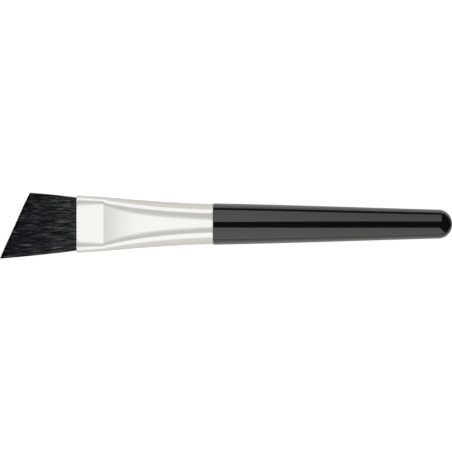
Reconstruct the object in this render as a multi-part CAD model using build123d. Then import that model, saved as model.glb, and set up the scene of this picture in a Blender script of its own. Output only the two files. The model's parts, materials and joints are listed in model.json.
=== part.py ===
from build123d import *
import os
from math import cos, radians, sin, tan

# Angled flat brush. A round, turned handle is glued into a metal ferrule, which changes from a
# circle at the handle to a flat oval at its mouth and holds a flat bundle of hair cut on a slant.
#
# Everything is modelled along the brush axis, X, in millimetres: x = 0 is the ferrule's mouth, the
# hair is towards -X and the handle towards +X. Y is across the flat of the brush, with the long side
# of the hair at -Y, and Z is through its thickness. At the end all pieces move together so that the
# origin is at the middle of the underside of the whole brush.

# ---- Ferrule
FERRULE_LENGTH = 45.2
FERRULE_WALL = 0.35
MOUTH_HALF_WIDTH = 9.6
MOUTH_HALF_THICKNESS = 3.05
LAND_LENGTH = 9.0            # flat pressed land behind the mouth
LAND_NARROWING = 0.54        # each side, from the mouth to the end of the land
LAND_PRESS_DEPTH = 0.04      # the land lies this much below the rest of the form
ROUND_END_RADIUS = 6.73
NARROWING_POWER = 1.45       # how early the width falls to the round end, 1 is a straight taper
SWELL_POWER = 2.6            # how early the thickness grows to the round end
ROUND_SEAM_ANGLE = 45.0      # where side arcs and wide arcs meet at the round end, from Z
MOUTH_LIP_RADIUS = 0.2
LOFT_STEPS = 8
FIRST_STEP_POWER = 1.4       # crowds the loft's sections towards the land, where it swells fastest

# ---- Hair
HAIR_LONG_SIDE = 25.5        # length out of the ferrule along the long side
HAIR_CUT_ANGLE = 24.5        # slant of the cut, away from square to the axis
HAIR_FLARE_ANGLE = 6.1       # each side, across the flat
HAIR_FAN_ANGLE = 1.1         # each face, through the thickness
HAIR_MOUTH_CLEARANCE = 0.2   # under each face of the ferrule, at the mouth
ROOT_SIDE_ROOM = 0.42        # each side of the roots, at their end
ROOT_SETBACK = 0.5           # from the end of the land to the stretch of roots that stays parallel
ROOT_STRAIGHT_LENGTH = 5.5   # that stretch, where the thread sits

# ---- Binding thread
THREAD_DIAMETER = 0.3
THREAD_TURNS = 8
THREAD_PITCH = 0.27          # less than the diameter, because the turns bed into each other
THREAD_CLEARANCE = 0.03      # around the roots, and in the resin
THREAD_SETBACK = 1.1         # from the start of the parallel stretch to the first turn

# ---- Resin that sets the roots
RESIN_SETBACK = 0.1          # from the start of the parallel stretch to the resin's front
RESIN_BEHIND_ROOTS = 3.0
RESIN_CLEARANCE = 0.03       # to the ferrule and to the roots

# ---- Handle
HANDLE_LENGTH = 79.3         # from the shoulder to the end of the dome
SHOULDER_PROUD = 0.155       # how far the shoulder stands out beyond the ferrule
SHOULDER_ROUNDING = 0.35
SHOULDER_GAP = 0.05          # between the end of the ferrule and the shoulder
TAIL_RADIUS = 4.8            # where the dome begins
DOME_LENGTH = 4.4
TENON_LENGTH = 12.0
TENON_TAPER = 0.51           # fall in radius from the shoulder to the nose
TENON_NOSE_CHAMFER = 0.6

# ---- Adhesive round the tenon
GLUE_FILM = 0.12             # all round the tenon at the round end
GLUE_CLEARANCE = 0.01        # to the ferrule and to the tenon
GLUE_END_MARGIN = 0.5        # the film stops this far short of each end of the tenon

# ---- Places along the axis
GATHER_X = LAND_LENGTH + ROOT_SETBACK
ROOT_X = GATHER_X + ROOT_STRAIGHT_LENGTH
THREAD_X = GATHER_X + THREAD_SETBACK
TIP_X = -HAIR_LONG_SIDE
SHOULDER_X = FERRULE_LENGTH + SHOULDER_GAP
TENON_NOSE_X = SHOULDER_X - TENON_LENGTH
TAIL_X = SHOULDER_X + HANDLE_LENGTH

# ---- Radii that follow from the round end
SHOULDER_RADIUS = ROUND_END_RADIUS + SHOULDER_PROUD
TENON_RADIUS = ROUND_END_RADIUS - FERRULE_WALL - GLUE_FILM


def wide_edge(start, middle, end):
    """Edge over one wide face: a line where the three points are level, otherwise an arc."""
    level = abs(middle[1] - start[1]) < 1e-9
    return Line(start, end) if level else ThreePointArc(start, middle, end)


def oval(x, half_width, half_thickness, seam_angle=0.0):
    """Section at x made of two side arcs and two wide arcs that meet smoothly.

    They meet seam_angle away from Z, as seen from their centres, and the side radius follows: an
    angle of 0 gives straight wide faces and half-round sides, and equal half sizes give a circle.
    """
    share = tan(radians(seam_angle) / 2)
    side_radius = (half_thickness - half_width * share) / (1 - share)
    seam_y = half_width - side_radius * (1 - sin(radians(seam_angle)))
    seam_z = side_radius * cos(radians(seam_angle))
    upper_right, upper_left = (seam_y, seam_z), (-seam_y, seam_z)
    lower_right, lower_left = (seam_y, -seam_z), (-seam_y, -seam_z)
    outline = Wire(
        [
            ThreePointArc(lower_right, (half_width, 0), upper_right),
            wide_edge(upper_right, (0, half_thickness), upper_left),
            ThreePointArc(upper_left, (-half_width, 0), lower_left),
            wide_edge(lower_left, (0, -half_thickness), lower_right),
        ]
    )
    return Plane.YZ.offset(x) * Face(outline)


def share_behind_land(x):
    """Where x lies between the end of the land, 0, and the round end, 1."""
    return (x - LAND_LENGTH) / (FERRULE_LENGTH - LAND_LENGTH)


def ferrule_half_width(x):
    """Half the ferrule's outer width at a place behind the land."""
    land_end = MOUTH_HALF_WIDTH - LAND_NARROWING
    left = (1 - share_behind_land(x)) ** NARROWING_POWER
    return ROUND_END_RADIUS + (land_end - ROUND_END_RADIUS) * left


def ferrule_section(x, inset):
    """The ferrule's section at a place behind the land, moved inwards by inset."""
    roundness = 1 - (1 - share_behind_land(x)) ** SWELL_POWER
    flat = MOUTH_HALF_THICKNESS + LAND_PRESS_DEPTH
    half_thickness = flat + (ROUND_END_RADIUS - flat) * roundness
    return oval(x, ferrule_half_width(x) - inset, half_thickness - inset, ROUND_SEAM_ANGLE * roundness)


def ferrule_form(inset):
    """The ferrule's solid form, with its whole surface moved inwards by inset."""
    mouth = oval(0, MOUTH_HALF_WIDTH - inset, MOUTH_HALF_THICKNESS + LAND_PRESS_DEPTH - inset)
    sections = []
    for step in range(LOFT_STEPS + 1):
        along = (step / LOFT_STEPS) ** FIRST_STEP_POWER
        x = LAND_LENGTH + (FERRULE_LENGTH - LAND_LENGTH) * along
        sections.append(ferrule_section(x, inset))
    return loft([mouth, sections[0]], ruled=True) + loft(sections)


def slab(x_from, x_to):
    """Block that keeps everything between two places along the axis."""
    across = 4 * MOUTH_HALF_WIDTH
    return Pos((x_from + x_to) / 2, 0, 0) * Box(x_to - x_from, across, across)


def ferrule():
    """Thin shell, open at both ends, with a true flat on each side behind the mouth."""
    shell = ferrule_form(0) - ferrule_form(FERRULE_WALL)
    lip = shell.faces().sort_by(Axis.X)[0].outer_wire().edges()
    shell = fillet(lip, MOUTH_LIP_RADIUS)
    height = MOUTH_HALF_THICKNESS
    die = Box(LAND_LENGTH, 4 * MOUTH_HALF_WIDTH, height)
    for side in (1, -1):
        shell -= Pos(LAND_LENGTH / 2, 0, side * 1.5 * height) * die
    return shell


ROOT_HALF_WIDTH = ferrule_half_width(ROOT_X) - FERRULE_WALL - ROOT_SIDE_ROOM
ROOT_HALF_THICKNESS = (
    MOUTH_HALF_THICKNESS - FERRULE_WALL - HAIR_MOUTH_CLEARANCE - GATHER_X * tan(radians(HAIR_FAN_ANGLE))
)


def hair_half_width(x):
    """Half the bundle's width: parallel at the roots, flaring evenly towards the cut."""
    return ROOT_HALF_WIDTH + max(GATHER_X - x, 0) * tan(radians(HAIR_FLARE_ANGLE))


def hair_section(x):
    """The bundle's flat-sided section at x."""
    half_thickness = ROOT_HALF_THICKNESS + max(GATHER_X - x, 0) * tan(radians(HAIR_FAN_ANGLE))
    return oval(x, hair_half_width(x), half_thickness)


def hair_bundle():
    """Roots, flare and slanted cut as one closed solid."""
    roots = loft([hair_section(ROOT_X), hair_section(GATHER_X)], ruled=True)
    fan = loft([hair_section(GATHER_X), hair_section(TIP_X)], ruled=True)
    reach = 4 * (HAIR_LONG_SIDE + MOUTH_HALF_WIDTH)
    waste = Pos(-reach / 2, 0, 0) * Box(reach, 2 * reach, reach)
    long_corner = Pos(TIP_X, -hair_half_width(TIP_X), 0)
    return roots + fan - long_corner * Rot(0, 0, -HAIR_CUT_ANGLE) * waste


def root_thread():
    """Close turns of thread around the parallel stretch of the roots, bedded into one band."""
    radius = THREAD_DIAMETER / 2
    out = THREAD_CLEARANCE + radius
    path = oval(THREAD_X, ROOT_HALF_WIDTH + out, ROOT_HALF_THICKNESS + out).outer_wire()
    start = path @ 0
    turns = Sketch()
    for turn in range(THREAD_TURNS):
        centre = start + Vector(turn * THREAD_PITCH, 0, 0)
        turns += Plane(centre, x_dir=(1, 0, 0), z_dir=path % 0) * Circle(radius)
    return sweep(turns, path=path)


def resin_set():
    """Plug that fills the ferrule around and just behind the roots."""
    front = GATHER_X + RESIN_SETBACK
    plug = ferrule_form(FERRULE_WALL + RESIN_CLEARANCE) & slab(front, ROOT_X + RESIN_BEHIND_ROOTS)
    root = oval(0, ROOT_HALF_WIDTH + RESIN_CLEARANCE, ROOT_HALF_THICKNESS + RESIN_CLEARANCE)
    band = THREAD_DIAMETER + 2 * THREAD_CLEARANCE
    groove_x = THREAD_X - THREAD_DIAMETER / 2 - THREAD_CLEARANCE
    groove = oval(groove_x, ROOT_HALF_WIDTH + band, ROOT_HALF_THICKNESS + band)
    plug -= extrude(root, amount=ROOT_X + RESIN_CLEARANCE)
    return plug - extrude(groove, amount=(THREAD_TURNS - 1) * THREAD_PITCH + band)


def tenon_profile(margin, x_from, x_to):
    """Half outline of the tapered tenon between two places, grown by margin."""
    full = TENON_RADIUS + margin
    start = full - (SHOULDER_X - x_from) * TENON_TAPER / TENON_LENGTH
    end = full - (SHOULDER_X - x_to) * TENON_TAPER / TENON_LENGTH
    return make_face(Polyline((x_from, 0), (x_from, start), (x_to, end), (x_to, 0), close=True))


def tenon_glue():
    """Film that fills the ferrule around the tenon."""
    x_from = TENON_NOSE_X + TENON_NOSE_CHAMFER + GLUE_END_MARGIN
    x_to = FERRULE_LENGTH - GLUE_END_MARGIN
    filled = ferrule_form(FERRULE_WALL + GLUE_CLEARANCE) & slab(x_from, x_to)
    return filled - revolve(tenon_profile(GLUE_CLEARANCE, TENON_NOSE_X, SHOULDER_X), Axis.X)


def handle():
    """Turned handle: tapered tenon, low shoulder, long straight taper and an elliptical dome."""
    dome_x = TAIL_X - DOME_LENGTH
    shoulder = (SHOULDER_X, SHOULDER_RADIUS - SHOULDER_ROUNDING)
    outline = Wire(
        [
            Line((SHOULDER_X, 0), shoulder),
            JernArc(shoulder, (0, 1), SHOULDER_ROUNDING, -90),
            Line((SHOULDER_X + SHOULDER_ROUNDING, SHOULDER_RADIUS), (dome_x, TAIL_RADIUS)),
            EllipticalCenterArc((dome_x, 0), DOME_LENGTH, TAIL_RADIUS, 0, arc_size=90),
            Line((TAIL_X, 0), (SHOULDER_X, 0)),
        ]
    )
    tenon = revolve(tenon_profile(0, TENON_NOSE_X, SHOULDER_X), Axis.X)
    nose = tenon.edges().sort_by(Axis.X)[0]
    return revolve(make_face(outline), Axis.X) + chamfer(nose, TENON_NOSE_CHAMFER)


def shared_move():
    """Brings the middle of the brush's underside to the origin."""
    slope = tan(radians(HAIR_CUT_ANGLE))
    flare = tan(radians(HAIR_FLARE_ANGLE))
    long_y = hair_half_width(TIP_X)
    short_y = long_y * (1 - slope * flare) / (1 + slope * flare)
    return Pos(-(TIP_X + TAIL_X) / 2, -(short_y - long_y) / 2, SHOULDER_RADIUS)


PIECES = {
    "handle": handle,
    "ferrule": ferrule,
    "hair_bundle": hair_bundle,
    "root_thread": root_thread,
    "resin_set": resin_set,
    "tenon_glue": tenon_glue,
}

os.makedirs("parts", exist_ok=True)
for name, make in PIECES.items():
    piece = shared_move() * make()
    piece.label = name
    export_step(piece, f"parts/{name}.step")
    print(name, round(piece.volume, 1), "mm3", "valid" if piece.is_valid else "not valid")
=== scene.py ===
import json
import logging
import math
from dataclasses import dataclass
from enum import Enum
from typing import ClassVar

import bpy
import numpy as np
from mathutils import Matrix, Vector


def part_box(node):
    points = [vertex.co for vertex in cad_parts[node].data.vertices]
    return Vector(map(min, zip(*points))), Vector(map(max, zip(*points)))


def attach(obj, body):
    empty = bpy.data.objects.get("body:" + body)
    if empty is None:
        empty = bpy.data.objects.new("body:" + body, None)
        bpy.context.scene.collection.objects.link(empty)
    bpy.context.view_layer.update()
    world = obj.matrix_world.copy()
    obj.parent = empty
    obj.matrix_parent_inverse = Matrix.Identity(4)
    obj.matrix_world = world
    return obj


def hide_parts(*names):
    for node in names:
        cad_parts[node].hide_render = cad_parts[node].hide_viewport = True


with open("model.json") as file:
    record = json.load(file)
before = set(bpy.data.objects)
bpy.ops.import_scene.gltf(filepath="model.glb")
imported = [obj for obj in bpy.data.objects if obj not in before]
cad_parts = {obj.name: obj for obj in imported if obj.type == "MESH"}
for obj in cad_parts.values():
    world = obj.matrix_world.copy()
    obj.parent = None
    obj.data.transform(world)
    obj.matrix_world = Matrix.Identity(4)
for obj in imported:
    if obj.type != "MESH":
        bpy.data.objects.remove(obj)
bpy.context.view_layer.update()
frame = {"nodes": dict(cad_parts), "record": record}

# Looks of an angled flat brush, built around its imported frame. The brush lies on its flat along X:
# hair towards -X, handle towards +X, long side of the hair at -Y. Everything is in metres in the
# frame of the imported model. Three parts are drawn again in finer meshes than the frame holds: the
# turned handle, the plated ferrule, and the hair as separate strands. The thread, the resin and the
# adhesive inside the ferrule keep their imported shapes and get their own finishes.

log = logging.getLogger("brush")

MM = 0.001
BODY = "root"
BAKE_MAP = "OFBake"          # name of a piece's own UV map, which a bake of its finish is laid out on
FULL_TURN = 2 * math.pi
SEED = 24


# ---- Shapes

def smooth_step(low: float, high: float, value: np.ndarray) -> np.ndarray:
    """Rises from 0 at low to 1 at high with level ends: 3 t squared less 2 t cubed."""
    share = np.clip((value - low) / (high - low), 0, 1)
    return share * share * (3 - 2 * share)


def grid_quads(rows: int, columns: int, ring: bool = False) -> np.ndarray:
    """Faces of a grid of points whose columns close on themselves.

    Point (i, j) has the number i * columns + j, and each face joins (i, j), (i, j + 1),
    (i + 1, j + 1) and (i + 1, j), with the last column followed by the first.

    Args:
        rows: number of rows of points.
        columns: number of points in a row.
        ring: whether the last row is followed by the first as well.

    Returns:
        One row of four point numbers for each face.
    """
    row, column = np.meshgrid(np.arange(rows if ring else rows - 1), np.arange(columns), indexing="ij")
    below, beside = (row + 1) % rows, (column + 1) % columns
    here, next_row = row * columns, below * columns
    corners = [here + column, here + beside, next_row + beside, next_row + column]
    return np.stack(corners, axis=-1).reshape(-1, 4)


def cap_fans(rows: int, columns: int) -> np.ndarray:
    """Triangles that close both ends of a tube of rings.

    The two centre points follow the rings' points, first the one of row 0, then the one of the last.

    Args:
        rows: number of rings.
        columns: number of points in a ring.

    Returns:
        One row of three point numbers for each triangle, wound the way of grid_quads.
    """
    ring = np.arange(columns)
    beside = (ring + 1) % columns
    first, last = np.full(columns, rows * columns), np.full(columns, rows * columns + 1)
    start = (rows - 1) * columns
    return np.concatenate(
        [np.stack([first, beside, ring], axis=-1), np.stack([last, start + ring, start + beside], axis=-1)]
    )


def outward(points: np.ndarray, faces: list[np.ndarray]) -> list[np.ndarray]:
    """Turns all faces round if they enclose a negative volume.

    The volume is the sum over the faces' triangles of a . (b x c) / 6.

    Args:
        points: positions, one row each.
        faces: arrays of point numbers, one array for each number of corners.

    Returns:
        The faces, all pointing outwards.
    """
    volume = 0.0
    for group in faces:
        a = points[group[:, 0]]
        for corner in range(1, group.shape[1] - 1):
            b, c = points[group[:, corner]], points[group[:, corner + 1]]
            volume += float(np.einsum("ij,ij->i", a, np.cross(b, c)).sum()) / 6
    return [group[:, ::-1] for group in faces] if volume < 0 else faces


def new_mesh_object(
    name: str,
    points: np.ndarray,
    faces: list[np.ndarray],
    uv: np.ndarray | None = None,
    flat_last: bool = False,
) -> bpy.types.Object:
    """Makes a smooth mesh object at the origin from whole arrays.

    Args:
        name: name of the object and its mesh.
        points: positions in metres, one row each.
        faces: arrays of point numbers, one array for each number of corners.
        uv: place of each point on the piece's own map, if it has one.
        flat_last: whether the last array's faces are shaded flat, as cut ends are.

    Returns:
        The object, linked into the scene.
    """
    mesh = bpy.data.meshes.new(name)
    corners = np.concatenate([group.ravel() for group in faces]).astype(np.int32)
    sizes = np.concatenate([np.full(len(group), group.shape[1]) for group in faces])
    mesh.vertices.add(len(points))
    mesh.vertices.foreach_set("co", points.astype(np.float32).ravel())
    mesh.loops.add(len(corners))
    mesh.loops.foreach_set("vertex_index", corners)
    mesh.polygons.add(len(sizes))
    mesh.polygons.foreach_set("loop_start", (np.cumsum(sizes) - sizes).astype(np.int32))
    smooth = np.ones(len(sizes), bool)
    if flat_last:
        smooth[-len(faces[-1]) :] = False
    mesh.polygons.foreach_set("use_smooth", smooth)
    mesh.update(calc_edges=True)
    if uv is not None:
        layer = mesh.uv_layers.new(name=BAKE_MAP)
        layer.uv.foreach_set("vector", uv[corners].astype(np.float32).ravel())
    piece = bpy.data.objects.new(name, mesh)
    bpy.context.scene.collection.objects.link(piece)
    return piece


def tube_piece(name: str, rings: np.ndarray, start: np.ndarray, end: np.ndarray) -> bpy.types.Object:
    """Makes one closed tube from rings of points, with a point in the middle of each end.

    Args:
        name: name of the object.
        rings: positions, indexed by ring, place in the ring and coordinate.
        start: middle of the first end.
        end: middle of the last end.

    Returns:
        The object.
    """
    rows, columns = rings.shape[:2]
    points = np.concatenate([rings.reshape(-1, 3), start[None], end[None]])
    faces = outward(points, [grid_quads(rows, columns), cap_fans(rows, columns)])
    return new_mesh_object(name, points, faces)


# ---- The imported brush

@dataclass(frozen=True)
class BrushFrame:
    """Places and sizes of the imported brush, in metres."""

    axis_y: float
    axis_z: float
    tip_x: float               # long corner of the hair
    mouth_x: float             # ferrule's mouth
    crease_x: float            # end of the pressed land
    root_x: float              # end of the hair inside the ferrule
    round_x: float             # ferrule's round end
    nose_x: float              # inner end of the tenon
    tail_x: float              # end of the handle
    mouth_half_width: float
    land_half_thickness: float
    round_radius: float
    shoulder_radius: float
    tip_half_width: float      # of the hair at its long corner
    tip_half_thickness: float

    @classmethod
    def read(cls) -> "BrushFrame":
        """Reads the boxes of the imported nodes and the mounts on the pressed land."""
        ferrule_low, ferrule_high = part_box("ferrule")
        handle_low, handle_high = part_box("handle")
        hair_low, hair_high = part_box("hair_bundle")
        mounts = {mount["name"]: mount["pos_m"] for mount in frame["record"]["mounts"]}
        upper, lower = mounts["plateau_upper"], mounts["plateau_lower"]
        axis_y = (ferrule_low.y + ferrule_high.y) / 2
        return cls(
            axis_y=axis_y,
            axis_z=(ferrule_low.z + ferrule_high.z) / 2,
            tip_x=hair_low.x,
            mouth_x=ferrule_low.x,
            crease_x=2 * upper[0] - ferrule_low.x,
            root_x=hair_high.x,
            round_x=ferrule_high.x,
            nose_x=handle_low.x,
            tail_x=handle_high.x,
            mouth_half_width=(ferrule_high.y - ferrule_low.y) / 2,
            land_half_thickness=(upper[2] - lower[2]) / 2,
            round_radius=(ferrule_high.z - ferrule_low.z) / 2,
            shoulder_radius=(handle_high.z - handle_low.z) / 2,
            tip_half_width=axis_y - hair_low.y,
            tip_half_thickness=(hair_high.z - hair_low.z) / 2,
        )

    def placed(self, x: np.ndarray, y: np.ndarray, z: np.ndarray) -> np.ndarray:
        """Points at x along the row, and y and z away from the brush's axis."""
        return np.stack(np.broadcast_arrays(x, self.axis_y + y, self.axis_z + z), axis=-1)


# ---- Finishes

def linear(colour: str) -> tuple[float, float, float, float]:
    """Turns an sRGB hex colour to linear red, green, blue and full alpha."""
    parts = [int(colour[i : i + 2], 16) / 255 for i in (1, 3, 5)]
    red, green, blue = [c / 12.92 if c <= 0.04045 else ((c + 0.055) / 1.055) ** 2.4 for c in parts]
    return red, green, blue, 1.0


def add_node(
    tree: bpy.types.NodeTree, kind: str, inputs: dict | None = None, **settings: object
) -> bpy.types.Node:
    """Adds a node with its settings and links.

    Args:
        tree: node tree that gets the node.
        kind: type name of the node.
        inputs: for each input, by name or number, its value or the output that feeds it.
        settings: values of the node's own properties.

    Returns:
        The node.
    """
    node = tree.nodes.new(kind)
    for name, value in settings.items():
        setattr(node, name, value)
    for key, value in (inputs or {}).items():
        if isinstance(value, bpy.types.NodeSocket):
            tree.links.new(value, node.inputs[key])
        else:
            node.inputs[key].default_value = value
    return node


@dataclass(frozen=True)
class Finish:
    """A surface finish, which makes its material once and dresses pieces with it."""

    name: str

    def shader(self, tree: bpy.types.NodeTree) -> bpy.types.NodeSocket:
        """Adds the finish's nodes and returns the shader that the surface shows."""
        raise NotImplementedError

    def material(self) -> bpy.types.Material:
        """The finish's material, made on first use."""
        made = bpy.data.materials.get(self.name)
        if made is None:
            made = bpy.data.materials.new(self.name)
            made.use_nodes = True
            tree = made.node_tree
            tree.nodes.clear()
            add_node(tree, "ShaderNodeOutputMaterial", {"Surface": self.shader(tree)})
        return made

    def dress(self, piece: bpy.types.Object) -> None:
        """Puts the material on all of a piece, through its slots where it has some."""
        if not piece.material_slots:
            piece.data.materials.append(self.material())
        for slot in piece.material_slots:
            slot.material = self.material()


@dataclass(frozen=True)
class BlackLacquer(Finish):
    """Black cellulose lacquer, dipped in several coats and polished, on a turned beech handle.

    It gives the eye a black with mirror-sharp reflections, which waver a little where the coats
    drew level over the grain, and that only in close views.
    """

    colour: str = "#08090b"
    index: float = 1.5           # cellulose lacquer
    roughness: float = 0.012
    dulling: float = 0.012       # added where hands have rubbed the polish
    rub_size: float = 9 * MM
    rub_span: tuple[float, float] = (0.45, 0.75)   # of the noise, from no rubbing to all of it
    wave_size: float = 1.6 * MM  # orange peel of a brushed or dipped coat is 1 to 3 mm
    wave_height: float = 0.0006 * MM

    def shader(self, tree: bpy.types.NodeTree) -> bpy.types.NodeSocket:
        """Clear gloss over black, with a faint long wave in the height and rubbed patches."""
        place = add_node(tree, "ShaderNodeTexCoord").outputs["Object"]
        waves = {"Vector": place, "Scale": 1 / self.wave_size, "Detail": 1.0}
        wave = add_node(tree, "ShaderNodeTexNoise", waves).outputs["Fac"]
        height = {"Height": wave, "Distance": self.wave_height, "Strength": 1.0}
        bump = add_node(tree, "ShaderNodeBump", height)
        rubs = {"Vector": place, "Scale": 1 / self.rub_size, "Detail": 4.0}
        gloss = add_node(
            tree,
            "ShaderNodeMapRange",
            {
                "Value": add_node(tree, "ShaderNodeTexNoise", rubs).outputs["Fac"],
                "From Min": self.rub_span[0],
                "From Max": self.rub_span[1],
                "To Min": self.roughness,
                "To Max": self.roughness + self.dulling,
            },
        )
        return add_node(
            tree,
            "ShaderNodeBsdfPrincipled",
            {
                "Base Color": linear(self.colour),
                "IOR": self.index,
                "Roughness": gloss.outputs["Result"],
                "Normal": bump.outputs["Normal"],
            },
        ).outputs["BSDF"]


@dataclass(frozen=True)
class NickelPlate(Finish):
    """Bright nickel plated on drawn and pressed brass, then tumbled.

    It gives the eye soft but clear bands of the studio, in a nearly neutral white, with a faint grain
    of lines along the brush from drawing and patches that tumbling left duller.
    """

    colour: str = "#e6e6e4"
    roughness: float = 0.085
    dulling: float = 0.05
    patch_size: float = 5 * MM
    patch_span: tuple[float, float] = (0.35, 0.75)   # of the noise, from bright to dull
    line_pitch: float = 0.12 * MM    # polishing grit of about 0.03 mm, drawn four times as coarse
    line_length: float = 9 * MM
    line_height: float = 0.0004 * MM

    def shader(self, tree: bpy.types.NodeTree) -> bpy.types.NodeSocket:
        """Metal whose roughness drifts in patches, under a stretched noise for the drawn lines."""
        place = add_node(tree, "ShaderNodeTexCoord").outputs["Object"]
        patches = {"Vector": place, "Scale": 1 / self.patch_size, "Detail": 5.0}
        gloss = add_node(
            tree,
            "ShaderNodeMapRange",
            {
                "Value": add_node(tree, "ShaderNodeTexNoise", patches).outputs["Fac"],
                "From Min": self.patch_span[0],
                "From Max": self.patch_span[1],
                "To Min": self.roughness,
                "To Max": self.roughness + self.dulling,
            },
        )
        stretch = (1 / self.line_length, 1 / self.line_pitch, 1 / self.line_pitch)
        drawn = add_node(tree, "ShaderNodeMapping", {"Vector": place, "Scale": stretch})
        grain = {"Vector": drawn.outputs["Vector"], "Scale": 1.0, "Detail": 2.0}
        lines = add_node(tree, "ShaderNodeTexNoise", grain).outputs["Fac"]
        height = {"Height": lines, "Distance": self.line_height, "Strength": 1.0}
        bump = add_node(tree, "ShaderNodeBump", height)
        return add_node(
            tree,
            "ShaderNodeBsdfPrincipled",
            {
                "Base Color": linear(self.colour),
                "Metallic": 1.0,
                "Roughness": gloss.outputs["Result"],
                "Normal": bump.outputs["Normal"],
            },
        ).outputs["BSDF"]


@dataclass(frozen=True)
class DyedHair(Finish):
    """Dyed black animal hair, combed straight and trimmed.

    It gives the eye a near black that breaks up into short greyer streaks. They are partly tone that
    differs at random, where neighbouring hairs took the dye a little differently, and partly painted
    sheen: the shine of hairs that bend alike, painted into the colour, denser near the ferrule. The
    streaks run along the piece's own map, whose first coordinate goes round the bundle and whose
    second runs from the roots to the cut.
    """

    dark: str = "#0a0d13"
    # pale tone of the streaks: partly random dye tone, partly painted sheen
    pale_and_painted_sheen: str = "#a6a196"
    index: float = 1.55          # keratin
    sheen: float = 0.2           # the scales of a hair throw most of its gloss sideways
    roughness: float = 0.45
    wisps: float = 260.0         # wisps side by side round the bundle, each about 0.2 mm wide
    streaks_along: float = 4.6   # a streak is about 6 mm of a hair 28 mm long
    shades: float = 32.0         # broader and longer changes of tone, about 1.6 mm wide
    shades_along: float = 2.0
    shade_share: float = 0.2
    wisp_detail: float = 2.0     # finer octaves of the wisps
    shade_detail: float = 3.0    # and of the shades
    threshold: float = 0.482       # of the noise, above which a hair turns towards the pale tone and painted sheen, at the roots
    threshold_rise: float = 0.062  # from the roots to the cut, so the painted sheen is denser near the ferrule than at the cut
    pale_and_painted_sheen_span: float = 0.2

    def noise(
        self,
        tree: bpy.types.NodeTree,
        place: bpy.types.NodeSocket,
        across: float,
        along: float,
        detail: float,
    ) -> bpy.types.NodeSocket:
        """Noise with so many cells across and along the map, and so many finer octaves."""
        stretch = add_node(tree, "ShaderNodeMapping", {"Vector": place, "Scale": (across, along, 1.0)})
        inputs = {"Vector": stretch.outputs["Vector"], "Scale": 1.0, "Detail": detail, "Roughness": 0.6}
        return add_node(tree, "ShaderNodeTexNoise", inputs).outputs["Fac"]

    def shader(self, tree: bpy.types.NodeTree) -> bpy.types.NodeSocket:
        """Colour follows the sum of a fine and a broad noise, both stretched along the hair, and turns to a
        pale that is random dye tone and painted sheen.
        """
        place = add_node(tree, "ShaderNodeUVMap", uv_map=BAKE_MAP).outputs["UV"]
        fine = self.noise(tree, place, self.wisps, self.streaks_along, self.wisp_detail)
        broad = self.noise(tree, place, self.shades, self.shades_along, self.shade_detail)
        lift = add_node(tree, "ShaderNodeMath", {0: broad, 1: 0.5}, operation="SUBTRACT").outputs[0]
        mixed = {0: lift, 1: self.shade_share, 2: fine}
        tone = add_node(tree, "ShaderNodeMath", mixed, operation="MULTIPLY_ADD").outputs[0]
        along = add_node(tree, "ShaderNodeSeparateXYZ", {0: place}).outputs["Y"]
        rising = {0: along, 1: self.threshold_rise, 2: self.threshold}
        low = add_node(tree, "ShaderNodeMath", rising, operation="MULTIPLY_ADD").outputs[0]
        above = add_node(tree, "ShaderNodeMath", {0: tone, 1: low}, operation="SUBTRACT").outputs[0]
        span = {"Value": above, "From Min": 0.0, "From Max": self.pale_and_painted_sheen_span}
        share = add_node(tree, "ShaderNodeMapRange", span).outputs["Result"]
        # the pale end of the mix is painted sheen as well as random dye tone
        tones = {0: share, 6: linear(self.dark), 7: linear(self.pale_and_painted_sheen)}
        colour = add_node(tree, "ShaderNodeMix", tones, data_type="RGBA")
        return add_node(
            tree,
            "ShaderNodeBsdfPrincipled",
            {
                "Base Color": colour.outputs[2],
                "IOR": self.index,
                "Specular IOR Level": self.sheen,
                "Roughness": self.roughness,
            },
        ).outputs["BSDF"]


@dataclass(frozen=True)
class PackedHair(Finish):
    """The same dyed hair where it is packed and shaded inside the bundle.

    It gives the eye a dark bed of fine lines between the strands.
    """

    colour: str = "#08090b"
    hair_pitch: float = 0.13 * MM
    hair_length: float = 8 * MM
    depth: float = 0.8           # share of a hair's thickness between hairs
    roughness: float = 0.7

    def shader(self, tree: bpy.types.NodeTree) -> bpy.types.NodeSocket:
        """Dull black with a noise stretched along X, one hair wide, as height."""
        place = add_node(tree, "ShaderNodeTexCoord").outputs["Object"]
        stretch = (1 / self.hair_length, 1 / self.hair_pitch, 1 / self.hair_pitch)
        drawn = add_node(tree, "ShaderNodeMapping", {"Vector": place, "Scale": stretch})
        spread = {"Vector": drawn.outputs["Vector"], "Scale": 1.0}
        hairs = add_node(tree, "ShaderNodeTexNoise", spread).outputs["Fac"]
        height = {"Height": hairs, "Distance": self.hair_pitch, "Strength": self.depth}
        bump = add_node(tree, "ShaderNodeBump", height).outputs["Normal"]
        look = {"Base Color": linear(self.colour), "Roughness": self.roughness, "Normal": bump}
        return add_node(tree, "ShaderNodeBsdfPrincipled", look).outputs["BSDF"]


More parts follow.
